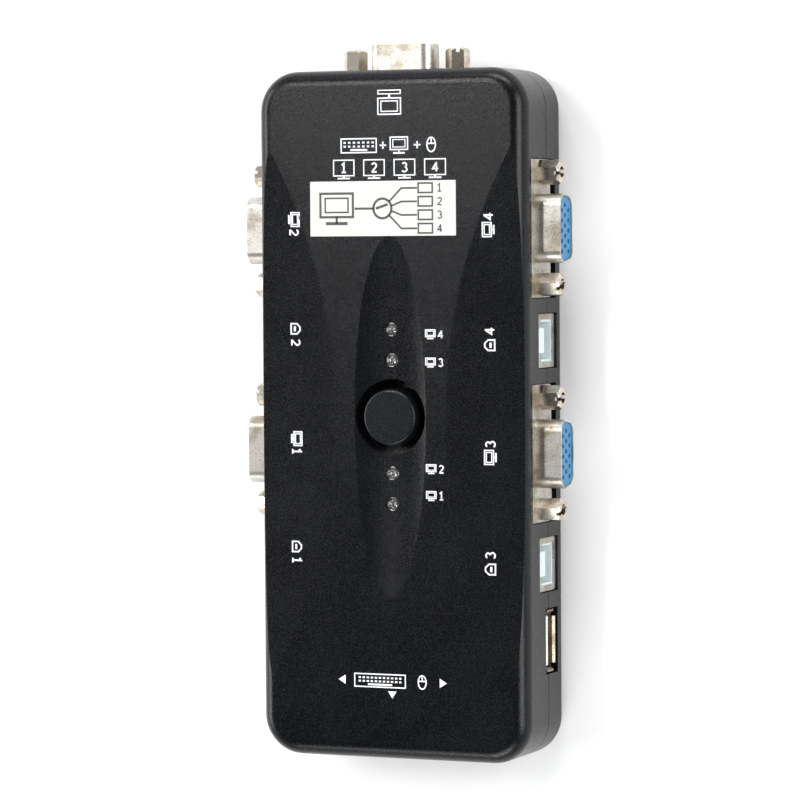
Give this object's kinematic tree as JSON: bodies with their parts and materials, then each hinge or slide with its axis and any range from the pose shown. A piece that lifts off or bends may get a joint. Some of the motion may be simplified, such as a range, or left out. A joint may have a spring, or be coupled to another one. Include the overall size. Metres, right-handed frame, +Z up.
{
  "type": "kvm switch",
  "caption": "Flat black desktop switch box with video and USB sockets round its sides and a round spring-return select button between indicator lamps on top.",
  "frame": {"origin": "under the centre of the whole footprint, connectors included, on the plane of the feet", "axes": "+X towards the side with computer ports 3 and 4, +Y towards the monitor port, +Z up out of the top cover"},
  "size_m": [0.0766, 0.1608, 0.0259],
  "materials": {
    "case_plastic": "fine moulded grain, black ABS",
    "button_plastic": "smooth black ABS",
    "lamp_epoxy": "water-clear epoxy lamp",
    "label_face": "white printed sticker",
    "foot_rubber": "black rubber",
    "screw_steel": "zinc-plated steel",
    "board_laminate": "green solder mask on glass laminate",
    "chip_plastic": "moulded chip package",
    "can_steel": "nickel-plated can",
    "lead_tin": "tinned lead wire",
    "spring_steel": "spring steel wire",
    "switch_plastic": "black switch housing",
    "plunger_plastic": "white acetal plunger",
    "jackscrew_nickel": "nickel-plated steel hexagon post",
    "contact_gold": "gold-flashed contact",
    "vga_blue_plastic": "blue moulded insulator",
    "shell_nickel": "nickel-plated sheet steel",
    "usb_pale_plastic": "pale bluish-white moulded insulator",
    "console_pale_plastic": "pale moulded insulator"
  },
  "bodies": {
    "case": {"bottom_cover": "case_plastic", "circuit_board": "board_laminate", "console_contacts": "contact_gold", "console_end_insulator": "console_pale_plastic", "console_end_shell": "shell_nickel", "console_left_insulator": "console_pale_plastic", "console_left_shell": "shell_nickel", "console_right_insulator": "console_pale_plastic", "console_right_shell": "shell_nickel", "cover_screws": "screw_steel", "crystal": "can_steel", "jackscrews": "jackscrew_nickel", "led_leads": "lead_tin", "led_pc1": "lamp_epoxy", "led_pc2": "lamp_epoxy", "led_pc3": "lamp_epoxy", "led_pc4": "lamp_epoxy", "logic_chips": "chip_plastic", "name_label": "label_face", "rubber_feet": "foot_rubber", "switch_base": "switch_plastic", "switch_body": "switch_plastic", "switch_spring": "spring_steel", "switch_terminals": "lead_tin", "top_cover": "case_plastic", "usb_pc1_contacts": "contact_gold", "usb_pc1_insulator": "usb_pale_plastic", "usb_pc1_shell": "shell_nickel", "usb_pc2_contacts": "contact_gold", "usb_pc2_insulator": "usb_pale_plastic", "usb_pc2_shell": "shell_nickel", "usb_pc3_contacts": "contact_gold", "usb_pc3_insulator": "usb_pale_plastic", "usb_pc3_shell": "shell_nickel", "usb_pc4_contacts": "contact_gold", "usb_pc4_insulator": "usb_pale_plastic", "usb_pc4_shell": "shell_nickel", "vga_monitor_bracket": "shell_nickel", "vga_monitor_contacts": "contact_gold", "vga_monitor_insulator": "vga_blue_plastic", "vga_monitor_shell": "shell_nickel", "vga_pc1_bracket": "shell_nickel", "vga_pc1_contacts": "contact_gold", "vga_pc1_insulator": "vga_blue_plastic", "vga_pc1_shell": "shell_nickel", "vga_pc2_bracket": "shell_nickel", "vga_pc2_contacts": "contact_gold", "vga_pc2_insulator": "vga_blue_plastic", "vga_pc2_shell": "shell_nickel", "vga_pc3_bracket": "shell_nickel", "vga_pc3_contacts": "contact_gold", "vga_pc3_insulator": "vga_blue_plastic", "vga_pc3_shell": "shell_nickel", "vga_pc4_bracket": "shell_nickel", "vga_pc4_contacts": "contact_gold", "vga_pc4_insulator": "vga_blue_plastic", "vga_pc4_shell": "shell_nickel"},
    "button": {"select_button": "button_plastic", "switch_plunger": "plunger_plastic"}
  },
  "joints": [
    {"name": "select_press", "type": "slide", "parent": "case", "child": "button", "axis": [0, 0, -1], "range_m": [0, 0.0015], "stiffness_N_per_m": 667, "springref_m": -0.0015, "deforming": ["switch_spring"]}
  ]
}
